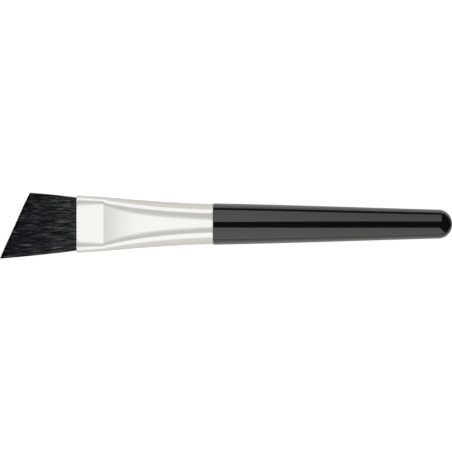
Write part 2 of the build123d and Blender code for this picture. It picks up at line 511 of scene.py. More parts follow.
@dataclass(frozen=True)
class CottonThread(Finish):
    """Twisted cotton thread, undyed, wound under tension.

    It gives the eye a matt cream with the slanted shade lines of its plies.
    """

    shade: str = "#9d9178"
    light: str = "#d8cfb9"
    ply_pitch: float = 0.35 * MM
    ply_height: float = 0.03 * MM
    slant: tuple[float, float, float] = (0.5, 0.4, 0.7)   # radians, of the plies
    wave_period: ClassVar[float] = 0.314   # a wave texture's bands repeat after this over its scale

    def shader(self, tree: bpy.types.NodeTree) -> bpy.types.NodeSocket:
        """Slanted bands of two creams, one band for each ply, which also stand up a little."""
        place = add_node(tree, "ShaderNodeTexCoord").outputs["Object"]
        turn = add_node(tree, "ShaderNodeMapping", {"Vector": place, "Rotation": self.slant})
        bands = {"Vector": turn.outputs["Vector"], "Scale": self.wave_period / self.ply_pitch}
        bands.update({"Distortion": 1.5, "Detail": 3.0})
        plies = add_node(tree, "ShaderNodeTexWave", bands).outputs["Fac"]
        tones = {0: plies, 6: linear(self.shade), 7: linear(self.light)}
        colour = add_node(tree, "ShaderNodeMix", tones, data_type="RGBA")
        height = {"Height": plies, "Distance": self.ply_height, "Strength": 1.0}
        bump = add_node(tree, "ShaderNodeBump", height).outputs["Normal"]
        look = {"Base Color": colour.outputs[2], "Roughness": 0.85, "Normal": bump}
        return add_node(tree, "ShaderNodeBsdfPrincipled", look).outputs["BSDF"]


@dataclass(frozen=True)
class PouredResin(Finish):
    """A resin or adhesive that was poured or spread and then set.

    It gives the eye a smooth clouded surface with fine bubbles.
    """

    deep: str
    shallow: str
    index: float
    roughness: float
    cloud_size: float = 2.5 * MM
    bubble_size: float = 0.35 * MM
    bubble_span: tuple[float, float] = (0.05, 0.25)   # from the middle of a bubble to its rim
    bubble_depth: float = 0.02 * MM

    def shader(self, tree: bpy.types.NodeTree) -> bpy.types.NodeSocket:
        """Two tones in clouds, with round pits for the bubbles."""
        place = add_node(tree, "ShaderNodeTexCoord").outputs["Object"]
        spread = {"Vector": place, "Scale": 1 / self.cloud_size, "Detail": 4.0}
        clouds = add_node(tree, "ShaderNodeTexNoise", spread).outputs["Fac"]
        tones = {0: clouds, 6: linear(self.deep), 7: linear(self.shallow)}
        colour = add_node(tree, "ShaderNodeMix", tones, data_type="RGBA")
        cells = {"Vector": place, "Scale": 1 / self.bubble_size}
        bubbles = add_node(tree, "ShaderNodeTexVoronoi", cells).outputs["Distance"]
        rims = {"Value": bubbles, "From Min": self.bubble_span[0], "From Max": self.bubble_span[1]}
        pits = add_node(tree, "ShaderNodeMapRange", rims).outputs["Result"]
        height = {"Height": pits, "Distance": self.bubble_depth, "Strength": 0.6}
        bump = add_node(tree, "ShaderNodeBump", height)
        return add_node(
            tree,
            "ShaderNodeBsdfPrincipled",
            {
                "Base Color": colour.outputs[2],
                "IOR": self.index,
                "Roughness": self.roughness,
                "Normal": bump.outputs["Normal"],
            },
        ).outputs["BSDF"]


@dataclass(frozen=True)
class TableTop(Finish):
    """Translucent white acrylic, lit from below, as studio tables are.

    It gives the eye an even white that a soft shadow only just tints.
    """

    glow: float = 0.95
    reflectance: str = "#f4f4f2"

    def shader(self, tree: bpy.types.NodeTree) -> bpy.types.NodeSocket:
        """Diffuse white plus its own light."""
        return add_node(
            tree,
            "ShaderNodeBsdfPrincipled",
            {
                "Base Color": linear(self.reflectance),
                "Roughness": 0.9,
                "Specular IOR Level": 0.0,
                "Emission Color": (1.0, 1.0, 1.0, 1.0),
                "Emission Strength": self.glow,
            },
        ).outputs["BSDF"]


@dataclass(frozen=True)
class TentCloth(Finish):
    """White diffusing cloth, lit from outside, which shows the light its mesh holds at each point.

    It gives the eye nothing itself, but everything glossy inside shows it. It lets rays through, so
    that one tent doesn't shade another.
    """

    light_name: str = "light"

    def shader(self, tree: bpy.types.NodeTree) -> bpy.types.NodeSocket:
        """Light from the mesh's attribute, added to clear."""
        light = add_node(tree, "ShaderNodeAttribute", attribute_name=self.light_name)
        glow = add_node(tree, "ShaderNodeEmission", {"Color": light.outputs["Color"], "Strength": 1.0})
        clear = add_node(tree, "ShaderNodeBsdfTransparent")
        return add_node(
            tree, "ShaderNodeAddShader", {0: glow.outputs["Emission"], 1: clear.outputs["BSDF"]}
        ).outputs["Shader"]


LACQUER = BlackLacquer("black_cellulose_lacquer_polished")
NICKEL = NickelPlate("bright_nickel_plate_tumbled")
# the hair's pale streaks are partly painted sheen, painted into the base colour
HAIR = DyedHair("dyed_black_hair_painted_sheen")
HAIR_BED = PackedHair("dyed_black_hair_packed")
THREAD = CottonThread("cotton_thread_twisted")
EPOXY = PouredResin("amber_epoxy_poured", "#6b3f12", "#a8712a", index=1.55, roughness=0.15)
ADHESIVE = PouredResin("cream_adhesive_spread", "#bdb59a", "#d9d3bd", index=1.48, roughness=0.3)
TABLE = TableTop("white_acrylic_table_lit")
TENT = TentCloth("tent_cloth_lit")


def finish_piece(piece: bpy.types.Object, finish: Finish, slot: str, *nodes: str) -> bpy.types.Object:
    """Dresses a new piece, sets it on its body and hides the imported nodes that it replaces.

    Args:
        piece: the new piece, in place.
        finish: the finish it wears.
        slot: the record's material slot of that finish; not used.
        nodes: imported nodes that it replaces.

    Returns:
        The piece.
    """
    finish.dress(piece)
    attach(piece, BODY)
    if nodes:
        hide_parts(*nodes)
    log.info("%s: %d faces", piece.name, len(piece.data.polygons))
    return piece


# ---- Ferrule

@dataclass
class Ferrule:
    """Plated ferrule: a thin shell, flat at the mouth, with a pressed land, swelling to a round end.

    Places x are measured from the mouth towards the handle.
    """

    place: BrushFrame
    wall: float = 0.35 * MM
    land_narrowing: float = 0.54 * MM        # each side, from the mouth to the end of the land
    narrowing_power: float = 1.45
    swell_power: float = 2.6
    mouth_flat: float = 4.4 * MM             # half width of the flat at the mouth
    land_end_flat: float = 5.8 * MM          # and at the end of the land
    flat_fall: float = 1.8                   # how soon the flat narrows behind the land
    squareness: float = 0.24                 # of the land's corners, over an ellipse's power of 2
    squareness_fall: float = 0.3
    lip_radius: float = 0.2 * MM
    edge_radius: float = 0.12 * MM           # the other three edges of the rims
    crease_angle: float = math.radians(9)    # faces that meet more sharply keep their edge
    columns: int = 44                        # points from the middle of the flat to the side
    land_rows: int = 14
    swell_rows: int = 56
    row_crowding: float = 1.3                # draws the swell's rows towards the land
    arc_rows: int = 6

    @property
    def land_length(self) -> float:
        """From the mouth to the crease."""
        return self.place.crease_x - self.place.mouth_x

    @property
    def length(self) -> float:
        """From the mouth to the round end."""
        return self.place.round_x - self.place.mouth_x

    def swell_share(self, x: np.ndarray) -> np.ndarray:
        """Where x lies between the crease, 0, and the round end, 1."""
        return np.clip((x - self.land_length) / (self.length - self.land_length), 0, 1)

    def half_width(self, x: np.ndarray) -> np.ndarray:
        """Falls evenly over the land, then by a power of what is left to the round end."""
        land_end = self.place.mouth_half_width - self.land_narrowing
        on_land = self.place.mouth_half_width - self.land_narrowing * x / self.land_length
        left = (1 - self.swell_share(x)) ** self.narrowing_power
        behind = self.place.round_radius + (land_end - self.place.round_radius) * left
        return np.where(x < self.land_length, on_land, behind)

    def half_thickness(self, x: np.ndarray) -> np.ndarray:
        """Level on the land, then growing to the round end by a power of what is left."""
        flat = self.place.land_half_thickness
        return flat + (self.place.round_radius - flat) * (1 - (1 - self.swell_share(x)) ** self.swell_power)

    def flat_half_width(self, x: np.ndarray) -> np.ndarray:
        """Half width of the flat: widens evenly over the land, then falls to nothing at the round end."""
        on_land = self.mouth_flat + (self.land_end_flat - self.mouth_flat) * x / self.land_length
        share = self.land_end_flat / (self.place.mouth_half_width - self.land_narrowing)
        behind = self.half_width(x) * share * (1 - self.swell_share(x)) ** self.flat_fall
        return np.where(x < self.land_length, on_land, behind)

    def quarter(self, x: np.ndarray, inset: np.ndarray) -> tuple[np.ndarray, np.ndarray]:
        """A quarter of the section, from the middle of the flat to the side.

        With half width a, half thickness b and flat half width f, the section is level to f. Its
        corner is a quarter of a superellipse, z = b (1 - c^n)^(1/n) with c = (y - f) / (a - f). The
        power n is a little over 2 on the land and 2 at the round end, where the section is a circle.

        Args:
            x: places along the ferrule, one to a row.
            inset: distance inwards from the outer form, one to a row.

        Returns:
            y and z of the points, one row for each place.
        """
        x, inset = x[:, None], inset[:, None]
        a, b, f = self.half_width(x) - inset, self.half_thickness(x) - inset, self.flat_half_width(x)
        y = a * np.sin(np.linspace(0, math.pi / 2, self.columns))[None]
        corner = np.clip((y - f) / (a - f), 0, 1)
        power = 2 + self.squareness * (1 - self.swell_share(x) ** self.squareness_fall)
        return y, b * (1 - corner**power) ** (1 / power)

    def rows(self) -> tuple[np.ndarray, np.ndarray]:
        """The wall's outline, once round: place along the ferrule and distance inwards.

        Each rim edge is a quarter circle: x = r (1 - cos t), inset = r (1 - sin t) and its mirrors.
        """
        turn = np.linspace(0, math.pi / 2, self.arc_rows)
        lip, edge, wall, end = self.lip_radius, self.edge_radius, self.wall, self.length
        land = np.linspace(lip, self.land_length, self.land_rows)[1:]
        share = (np.arange(1, self.swell_rows) / self.swell_rows) ** self.row_crowding
        swell = self.land_length + (end - edge - self.land_length) * share
        inner = np.linspace(end - edge, edge, self.swell_rows // 2)[1:-1]
        x = [
            lip * (1 - np.cos(turn)), land, swell, end - edge * (1 - np.sin(turn)),
            end - edge * (1 - np.cos(turn)), inner, edge * (1 - np.sin(turn)),
        ]
        inset = [
            lip * (1 - np.sin(turn)), 0 * land, 0 * swell, edge * (1 - np.cos(turn)),
            wall - edge * (1 - np.sin(turn)), wall + 0 * inner, wall - edge * (1 - np.cos(turn)),
        ]
        return np.concatenate(x), np.concatenate(inset)

    def build(self) -> bpy.types.Object:
        """Carries the section along the wall's outline as one closed shell."""
        x, inset = self.rows()
        y, z = self.quarter(x, inset)
        seam = y.shape[1] - 1        # the side point, kept once, then the middle of the lower flat
        around_y = np.concatenate([y[:, :seam], y[:, :0:-1], -y[:, :seam], -y[:, :0:-1]], axis=1)
        around_z = np.concatenate([z[:, :seam], -z[:, :0:-1], -z[:, :seam], z[:, :0:-1]], axis=1)
        rings = self.place.placed(self.place.mouth_x + x[:, None], around_y, around_z)
        points = rings.reshape(-1, 3)
        faces = outward(points, [grid_quads(*rings.shape[:2], ring=True)])
        piece = new_mesh_object("ferrule_plated", points, faces)
        piece.data.set_sharp_from_angle(angle=self.crease_angle)
        return finish_piece(piece, NICKEL, "plated_brass", "ferrule")


# ---- Handle

@dataclass
class Handle:
    """Turned and lacquered handle, with the tenon that is glued into the ferrule."""

    place: BrushFrame
    tenon_length: float = 12.0 * MM
    tenon_radius: float = 6.26 * MM          # at the shoulder
    tenon_taper: float = 0.51 * MM           # fall in radius to the nose
    nose_chamfer: float = 0.6 * MM
    corner_row: float = 0.02 * MM            # between the tenon's last two rows, at the shoulder
    shoulder_rounding: float = 0.35 * MM
    tail_radius: float = 4.8 * MM            # where the dome begins
    belly: float = 0.09 * MM                 # how far the taper stands over a straight line
    dome_length: float = 4.4 * MM
    edge_angle: float = math.radians(35)
    arc_rows: int = 10
    taper_rows: int = 24
    dome_rows: int = 30
    columns: int = 180

    def profile(self) -> tuple[np.ndarray, np.ndarray]:
        """Places along X and radii, from the nose of the tenon to near the end of the dome.

        The shoulder's edge is a quarter circle and the dome is a quarter ellipse: x = start + length
        sin t, radius = tail radius cos t. The long stretch is straight but for a slight belly, 27/4 s
        (1 - s)^2 times its height, which reaches that height a third of the way along.
        """
        place, r = self.place, self.shoulder_rounding
        shoulder = place.nose_x + self.tenon_length
        nose_radius = self.tenon_radius - self.tenon_taper
        turn = np.linspace(0, math.pi / 2, self.arc_rows)
        dome_x = place.tail_x - self.dome_length
        taper = np.linspace(0, 1, self.taper_rows)[1:-1]
        cap = np.linspace(0, math.pi / 2, self.dome_rows)[:-1]
        x = [
            [place.nose_x, place.nose_x + self.nose_chamfer, shoulder - self.corner_row, shoulder],
            shoulder + r * (1 - np.cos(turn)),
            shoulder + r + (dome_x - shoulder - r) * taper,
            dome_x + self.dome_length * np.sin(cap),
        ]
        radius = [
            [nose_radius - self.nose_chamfer, nose_radius, self.tenon_radius, self.tenon_radius],
            place.shoulder_radius - r * (1 - np.sin(turn)),
            place.shoulder_radius + (self.tail_radius - place.shoulder_radius) * taper
            + self.belly * 27 / 4 * taper * (1 - taper) ** 2,
            self.tail_radius * np.cos(cap),
        ]
        return np.concatenate(x), np.concatenate(radius)

    def build(self) -> bpy.types.Object:
        """Turns the profile about the axis: y = radius sin t, z = radius cos t."""
        x, radius = (row[:, None] for row in self.profile())
        turn = np.linspace(0, FULL_TURN, self.columns, endpoint=False)[None]
        rings = self.place.placed(x, radius * np.sin(turn), radius * np.cos(turn))
        nose = self.place.placed(self.place.nose_x, 0.0, 0.0)
        tail = self.place.placed(self.place.tail_x, 0.0, 0.0)
        piece = tube_piece("handle_lacquered", rings, nose, tail)
        piece.data.set_sharp_from_angle(angle=self.edge_angle)
        return finish_piece(piece, LACQUER, "lacquered_wood", "handle")


# ---- Hair

class Face(Enum):
    """The two faces of the bundle, whose outer strands are separate pieces."""

    UPPER = 1
    LOWER = -1


@dataclass
class HairBundle:
    """Hair as separate strands over a dark bed, cut on a slant.

    Places x are along the row. A point of a section is given as shares p of the half width and q of
    the half thickness, which stay the same along a strand, so that the strands fan out evenly.
    """

    place: BrushFrame
    flare: float = math.radians(6.1)         # each side, across the flat
    fan: float = math.radians(1.1)           # each face, through the thickness
    cut: float = math.radians(24.5)          # slant of the cut, away from square
    straight_root: float = 5.5 * MM          # stretch at the roots with parallel sides
    flat_share: float = 0.5                  # share of the half width that is flat
    strand_radius: float = 0.062 * MM        # real hair is 0.03 to 0.05 mm, drawn coarser to show
    tip_radius: float = 0.045 * MM
    start_depth: float = 2.5 * MM            # how far inside the ferrule the strands begin
    strand_rows: int = 15
    sides: int = 3
    layers: int = 6
    layer_depth: float = 0.10 * MM
    first_depth: float = 0.069 * MM          # of the outermost strands' middles
    side_belly: float = 0.2 * MM             # how far the sides bow out, halfway along
    strand_spacing: float = 0.118 * MM       # side by side, halfway along
    lock_width: float = 0.62 * MM
    layer_scatter: float = 0.8               # of a layer's depth
    lock_scatter: float = 0.35               # of a lock's middle, as a share of its width
    free_length: float = 5 * MM              # from the ferrule to where the hair sways fully
    lock_pull: float = 0.22                  # share of the way to the lock's middle at the tip
    long_wave: float = 17 * MM
    long_height: float = 0.04 * MM
    short_wave: float = 8.5 * MM
    short_height: float = 0.022 * MM
    tip_scatter: float = 0.16 * MM
    inner_spacing: float = 0.15 * MM
    inner_length: float = 2.6 * MM
    bed_depth: float = 0.52 * MM             # the bed's surface under the bundle's
    bed_setback: float = 1.6 * MM            # the bed's end behind the cut
    bed_rows: int = 24
    bed_edge_angle: float = math.radians(40)
    outline_samples: int = 400
    map_margin: float = 0.02                 # left free at both sides of the strands' map
    map_strand: float = 0.001                # how wide a strand's sides are drawn there

    @property
    def gather_x(self) -> float:
        """Where the roots' parallel stretch ends and the flare begins."""
        return self.place.root_x - self.straight_root

    def from_tip(self, x: np.ndarray) -> np.ndarray:
        """Length from the tip, up to the roots' parallel stretch."""
        return np.minimum(x, self.gather_x) - self.place.tip_x

    def half_width(self, x: np.ndarray) -> np.ndarray:
        """Falls evenly from the tip to the roots' parallel stretch."""
        return self.place.tip_half_width - self.from_tip(x) * math.tan(self.flare)

    def half_thickness(self, x: np.ndarray) -> np.ndarray:
        """Falls evenly from the tip to the roots' parallel stretch."""
        return self.place.tip_half_thickness - self.from_tip(x) * math.tan(self.fan)

    def cut_x(self, p: np.ndarray) -> np.ndarray:
        """Where a strand at share p of the half width meets the cut.

        The cut is x = tip + (y + w) s, with w the half width at the tip and s the tangent of the
        slant, and the strand is y = p (w - (x - tip) g), with g the tangent of the flare.
        """
        w, s, g = self.place.tip_half_width, math.tan(self.cut), math.tan(self.flare)
        return self.place.tip_x + w * (1 + p) * s / (1 + p * g * s)

    def outline(self, x: float) -> tuple[np.ndarray, ...]:
        """The section's outline at x, once round from the middle of the upper flat.

        It is level over the flat and a quarter of an ellipse at each corner, as the ferrule is.

        Args:
            x: place along the row.

        Returns:
            Length along the outline, the shares p and q, and the outward direction's y and z.
        """
        flat = self.flat_share
        over = np.linspace(0, 1, self.outline_samples // 4, endpoint=False)
        turn = np.linspace(0, math.pi / 2, self.outline_samples // 4)
        p = np.concatenate([flat * over, flat + (1 - flat) * np.sin(turn)])
        q = np.concatenate([np.ones_like(over), np.cos(turn)])
        p = np.concatenate([p[:-1], p[:0:-1], -p[:-1], -p[::-1]])
        q = np.concatenate([q[:-1], -q[:0:-1], -q[:-1], q[::-1]])
        y, z = p * self.half_width(x), q * self.half_thickness(x)
        run = np.concatenate([[0], np.cumsum(np.hypot(np.diff(y), np.diff(z)))])
        along_y, along_z = np.gradient(y, run), np.gradient(z, run)
        size = np.hypot(along_y, along_z)
        return run, p, q, -along_z / size, along_y / size

    def strands(self, name: str, lines: np.ndarray, radius: np.ndarray, uv: np.ndarray) -> bpy.types.Object:
        """Makes closed three-sided tapered tubes along many lines at once.

        Args:
            name: name of the piece.
            lines: positions, indexed by strand, row and coordinate.
            radius: the strands' radius at each row.
            uv: place of each strand's points on the map, indexed by strand, row, side and coordinate.

        Returns:
            The piece.
        """
        count, rows = lines.shape[:2]
        turn = np.arange(self.sides) * FULL_TURN / self.sides + math.pi / 2
        ring = np.stack([0 * turn, np.cos(turn), np.sin(turn)], axis=-1)
        points = (lines[:, :, None] + radius[None, :, None, None] * ring).reshape(-1, 3)
        starts = (np.arange(count) * rows * self.sides)[:, None, None]
        quads = (grid_quads(rows, self.sides)[None] + starts).reshape(-1, 4)
        side = np.arange(self.sides)
        ends = np.stack([side[::-1], side + (rows - 1) * self.sides])
        caps = (ends[None] + starts).reshape(-1, self.sides)
        faces = outward(points, [quads, caps])
        return new_mesh_object(name, points, faces, uv.reshape(-1, 2), flat_last=True)

    def outer_lines(self, rng: np.random.Generator) -> tuple[np.ndarray, np.ndarray, np.ndarray]:
        """Lines of the outer strands, all round the bundle.

        A strand keeps its depth and its place on the outline but drifts towards the middle of its
        lock, by lock_pull at the tip. Two sine waves, a long one for the lock and a short one for
        the strand, sway it along the outline and press it inwards.

        Args:
            rng: source of the random numbers.

        Returns:
            Positions by strand, row and coordinate, each strand's place round the bundle from 0 to
            1, and how far its side of the bundle faces up.
        """
        middle_x = (self.place.tip_x + self.place.mouth_x) / 2
        run, p, q, out_y, out_z = self.outline(middle_x)
        around = run[-1]
        per_layer = int(around / self.strand_spacing)
        count = per_layer * self.layers
        at = (np.arange(count) % per_layer + rng.random(count)) / per_layer * around
        layer = np.arange(count) // per_layer + self.layer_scatter * (rng.random(count) - 0.5)
        depth = self.first_depth + self.layer_depth * layer
        locks = int(around / self.lock_width)
        lock = (at / around * locks).astype(int) % locks

        def per_lock() -> np.ndarray:
            """One random number for each lock, handed to its strands."""
            return rng.random(locks)[lock][:, None]

        middle = (lock + 0.5 + self.lock_scatter * (per_lock()[:, 0] - 0.5)) / locks * around
        t = np.linspace(0, 1, self.strand_rows)[None]
        pull = self.lock_pull * (0.5 + per_lock()) * smooth_step(0.1, 1.0, t)
        spot = at[:, None] + (middle - at)[:, None] * pull
        start = self.place.mouth_x + self.start_depth
        tip_p = np.interp(spot[:, -1], run, p) * (1 - depth / self.place.tip_half_width)
        end = self.cut_x(tip_p) + self.tip_scatter * rng.random(count) ** 2
        x = start + (end - start)[:, None] * t
        free = smooth_step(0.0, self.free_length, self.place.mouth_x + 0.5 * MM - x)
        long_turn = FULL_TURN * (x / self.long_wave + per_lock())
        ripples = x / self.short_wave * (0.8 + 0.4 * per_lock())
        short_turn = FULL_TURN * (ripples + rng.random(count)[:, None] * 0.25 + per_lock())
        height = self.long_height * (0.4 + 1.2 * per_lock())
        sway = free * (height * np.sin(long_turn) + self.short_height * np.sin(short_turn))
        inwards = 0.5 * height * (1 - np.cos(long_turn)) + self.short_height * (1 - np.cos(short_turn))
        press = free * inwards
        spot = spot + sway
        flatness = np.abs(np.interp(at, run, out_z))[:, None]      # the sides stay full
        depth = depth[:, None] + press * flatness - self.side_belly * 4 * t * (1 - t) * (1 - flatness)
        spot = spot % around
        y = np.interp(spot, run, p) * self.half_width(x) - np.interp(spot, run, out_y) * depth
        z = np.interp(spot, run, q) * self.half_thickness(x) - np.interp(spot, run, out_z) * depth
        return self.place.placed(x, y, z), at / around, np.interp(at, run, out_z)

    def inner_lines(self, rng: np.random.Generator) -> np.ndarray:
        """Lines of the short strands that fill the cut face, on a jittered grid of the section.

        Args:
            rng: source of the random numbers.

        Returns:
            Positions by strand, row and coordinate.
        """
        wide, thick = self.place.tip_half_width, self.place.tip_half_thickness
        across = np.arange(-wide, wide, self.inner_spacing)
        through = np.arange(-thick, thick, self.inner_spacing)
        y, z = (side.ravel() for side in np.meshgrid(across, through))
        y = y + self.inner_spacing * (rng.random(y.size) - 0.5)
        z = z + self.inner_spacing * (rng.random(z.size) - 0.5)
        inset = self.first_depth + self.layer_depth * (self.layers - 2)
        p, q = y / (wide - inset), z / (thick - inset)
        corner = np.clip((np.abs(p) - self.flat_share) / (1 - self.flat_share), 0, None)
        inside = corner**2 + q**2 < 1
        p, q = p[inside] * (1 - inset / wide), q[inside] * (1 - inset / thick)
        end = self.cut_x(p) + self.tip_scatter * rng.random(p.size) ** 2
        x = end[:, None] + self.inner_length * np.linspace(1, 0, 3)[None]
        return self.place.placed(x, p[:, None] * self.half_width(x), q[:, None] * self.half_thickness(x))

    def map_places(self, column: np.ndarray, rows: int) -> np.ndarray:
        """Places on the strands' own map: across, the place round the bundle, and along, root to tip.

        Args:
            column: each strand's place round the bundle, from 0 to 1.
            rows: number of rows of a strand.

        Returns:
            Map places by strand, row, side and coordinate.
        """
        side = self.map_strand * np.linspace(-0.5, 0.5, self.sides)
        column = self.map_margin + (1 - 2 * self.map_margin) * column
        across = column[:, None, None] + side[None, None]
        along = np.linspace(0.01, 0.99, rows)[None, :, None]
        return np.stack(np.broadcast_arrays(across, along), axis=-1)

    def build_outer(self, rng: np.random.Generator) -> list[bpy.types.Object]:
        """The outer strands, one piece for each face of the bundle."""
        lines, around, up = self.outer_lines(rng)
        radius = np.linspace(self.strand_radius, self.tip_radius, self.strand_rows)
        pieces = []
        for face in Face:
            chosen = np.where(up >= 0, 1, -1) == face.value
            uv = self.map_places(around[chosen], self.strand_rows)
            piece = self.strands(f"hair_strands_{face.name.lower()}", lines[chosen], radius, uv)
            pieces.append(finish_piece(piece, HAIR, "hair"))
        return pieces

    def build_inner(self, rng: np.random.Generator) -> bpy.types.Object:
        """The short strands of the cut face."""
        lines = self.inner_lines(rng)
        radius = np.linspace(self.strand_radius, self.tip_radius, lines.shape[1])
        uv = self.map_places(rng.random(len(lines)), lines.shape[1])
        return finish_piece(self.strands("hair_strands_inner", lines, radius, uv), HAIR, "hair")

    def build_bed(self) -> bpy.types.Object:
        """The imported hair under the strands: the outline, drawn in, carried from the roots to the cut."""
        _, p, q, _, _ = self.outline(self.place.tip_x)
        p, q = p[None, :-1], q[None, :-1]
        end = self.cut_x(p) + self.bed_setback
        t = np.linspace(0, 1, self.bed_rows)[:, None]
        x = self.place.root_x + (end - self.place.root_x) * t
        y = p * (self.half_width(x) - self.bed_depth)
        z = q * (self.half_thickness(x) - self.bed_depth)
        rings = self.place.placed(x, y, z)
        piece = tube_piece("hair_bed", rings, rings[0].mean(axis=0), rings[-1].mean(axis=0))
        piece.data.set_sharp_from_angle(angle=self.bed_edge_angle)
        return finish_piece(piece, HAIR_BED, "hair", "hair_bundle")

    def build(self) -> list[bpy.types.Object]:
        """All pieces of the hair."""
        rng = np.random.default_rng(SEED)
        return [*self.build_outer(rng), self.build_inner(rng), self.build_bed()]


# ---- What the ferrule holds

class Inside(Enum):
    """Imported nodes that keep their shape, with their finish and their slot in the record."""

    root_thread = (THREAD, "thread")
    resin_set = (EPOXY, "resin")
    tenon_glue = (ADHESIVE, "adhesive")

    def dress(self) -> bpy.types.Object:
        """Puts the finish on the node through its slots."""
        finish, slot = self.value
        node = frame["nodes"][self.name]
        finish.dress(node)
        log.info("%s: kept as packed", self.name)
        return node


# ---- Studio

@dataclass
class LightTent:
    """A closed tube of lit cloth round the brush, which lights only the pieces it is meant for.

    Its light is a function of the angle round the brush, from straight up towards +Y, and of the
    place along it. Below the table it stands for the table's own light. Its ends shade from the
    tube's light to their own in the middle.
    """

    place: BrushFrame
    name: str
    receivers: list[bpy.types.Object]
    radius: float = 0.6
    start_x: float = -1.2
    end_x: float = 1.2
    hair_end: float = 0.0        # light in the middle of the end towards the hair
    tail_end: float = 0.0        # and of the other end
    rows: int = 240
    columns: int = 720

    def light(self, angle: np.ndarray, x: np.ndarray) -> np.ndarray:
        """Red, green and blue light, by angle in degrees and place in metres."""
        raise NotImplementedError

    def build(self) -> bpy.types.Object:
        """Makes the tube, writes its light on its points and links it to its receivers."""
        angle = np.linspace(-180, 180, self.columns, endpoint=False)[None]
        x = np.linspace(self.start_x, self.end_x, self.rows)[:, None]
        turn = np.radians(angle)
        tube = self.place.placed(x, self.radius * np.sin(turn), self.radius * np.cos(turn)).reshape(-1, 3)
        ends = self.place.placed(np.array([self.start_x, self.end_x]), 0.0, 0.0)
        faces = [grid_quads(self.rows, self.columns), cap_fans(self.rows, self.columns)]
        tent = new_mesh_object(self.name, np.concatenate([tube, ends]), faces)
        held = tent.data.attributes.new(TENT.light_name, "FLOAT_COLOR", "POINT")
        light = np.broadcast_to(self.light(angle, x), (self.rows, self.columns, 3)).reshape(-1, 3)
        light = np.concatenate([light, np.full((1, 3), self.hair_end), np.full((1, 3), self.tail_end)])
        colours = np.concatenate([light, np.ones((len(light), 1))], axis=-1)
        held.data.foreach_set("color", colours.astype(np.float32).ravel())
        TENT.dress(tent)
        TENT.material().cycles.emission_sampling = "NONE"
        light_only(tent, self.receivers)
        tent.visible_camera = False
        tent.visible_shadow = False
        return tent


def light_only(source: bpy.types.Object, receivers: list[bpy.types.Object]) -> None:
    """Makes a light or a lit mesh light only some pieces.

    Args:
        source: the light or lit mesh.
        receivers: the pieces it lights.
    """
    chosen = bpy.data.collections.new(f"lit_by_{source.name}")
    for piece in receivers:
        chosen.objects.link(piece)
    source.light_linking.receiver_collection = chosen


def between(low: np.ndarray, high: np.ndarray, value: np.ndarray, soft: float) -> np.ndarray:
    """1 between low and high, 0 outside, with edges soft wide."""
    return smooth_step(-soft / 2, soft / 2, value - low) * smooth_step(-soft / 2, soft / 2, high - value)


@dataclass(frozen=True)
class Softbox:
    """A long softbox in a tent, between two edges that slant along the brush.

    Angles are in degrees from straight up, and lengths in mm from where the shoulder is shown.
    """

    inner: float                 # edge nearer to straight up
    inner_slant: float           # and its drift for each mm
    outer: float
    outer_slant: float
    light: float                 # at the inner edge, by the shoulder
    fall: float                  # for each mm
    fade: float                  # share of the light lost at the outer edge
    fade_power: float
    softness: float = 1.0        # of the edges

    def glow(self, angle: np.ndarray, beyond: np.ndarray) -> np.ndarray:
        """Light that falls evenly along the box and by a power of the share across it.

        Args:
            angle: degrees from straight up, towards the box.
            beyond: length beyond the shoulder.

        Returns:
            The light, 0 outside the box.
        """
        inner, outer = self.inner + self.inner_slant * beyond, self.outer + self.outer_slant * beyond
        across = np.clip((angle - self.inner) / (self.outer - self.inner), 0, 1)
        faded = 1 - self.fade * across**self.fade_power
        return between(inner, outer, angle, self.softness) * (self.light - self.fall * beyond) * faded


class HandleTent(LightTent):
    """Two tall softboxes with a dark strip between them overhead and a gap over the table at +Y."""

    shoulder_shown: ClassVar[float] = 29.0   # mm along X, which the taper shows at the shoulder
    dome_shown: ClassVar[float] = 137.0      # and at the dome
    right: ClassVar[Softbox] = Softbox(
        inner=12.5, inner_slant=0.078, outer=85.0, outer_slant=-0.047,
        light=1.95, fall=0.0042, fade=0.26, fade_power=1.85,
    )
    left: ClassVar[Softbox] = Softbox(
        inner=20.0, inner_slant=0.065, outer=95.2, outer_slant=0.0,
        light=1.95, fall=0.0018, fade=0.12, fade_power=2.85,
    )
    right_end: ClassVar[float] = 0.30        # x where the softbox stops
    left_end: ClassVar[float] = 0.13         # the same, at the next angle
    left_end_angle: ClassVar[float] = 27.5   # degrees
    left_end_slant: ClassVar[float] = 0.0074   # further out, for each degree more
    table_right: ClassVar[float] = 102.5     # degrees where the table begins
    table_left: ClassVar[float] = 97.8
    dark: ClassVar[float] = 0.06             # light of the strip and the gap
    colour: ClassVar[tuple[float, float, float]] = (1.0, 0.99, 0.97)

    def table_light(self, angle: np.ndarray, beyond: np.ndarray, x: np.ndarray) -> np.ndarray:
        """The table's light, which rises a little and then falls to a tenth straight below."""
        over = np.abs(angle)
        starts = smooth_step(-1.0, 1.0, angle - self.table_right + 0.01 * beyond)
        starts = starts + smooth_step(-0.8, 0.8, -self.table_left - angle)
        reach = 0.075 + 1.04 * np.abs(np.cos(np.radians(angle)))
        level = 1 + 0.1 * smooth_step(97, 112, over) - smooth_step(125, 183, over)
        return starts * smooth_step(-0.02, 0.02, reach - x) * level

    def light(self, angle: np.ndarray, x: np.ndarray) -> np.ndarray:
        """Softboxes with straight edges, and the table below them."""
        beyond = np.clip(x / MM, self.shoulder_shown, self.dome_shown) - self.shoulder_shown
        left_end = self.left_end + self.left_end_slant * (-angle - self.left_end_angle)
        right = self.right.glow(angle, beyond) * smooth_step(-0.01, 0.01, self.right_end - x)
        left = self.left.glow(-angle, beyond) * smooth_step(-0.01, 0.01, left_end - x)
        level = self.dark + right + left + self.table_light(angle, beyond, x)
        return level[..., None] * np.array(self.colour)


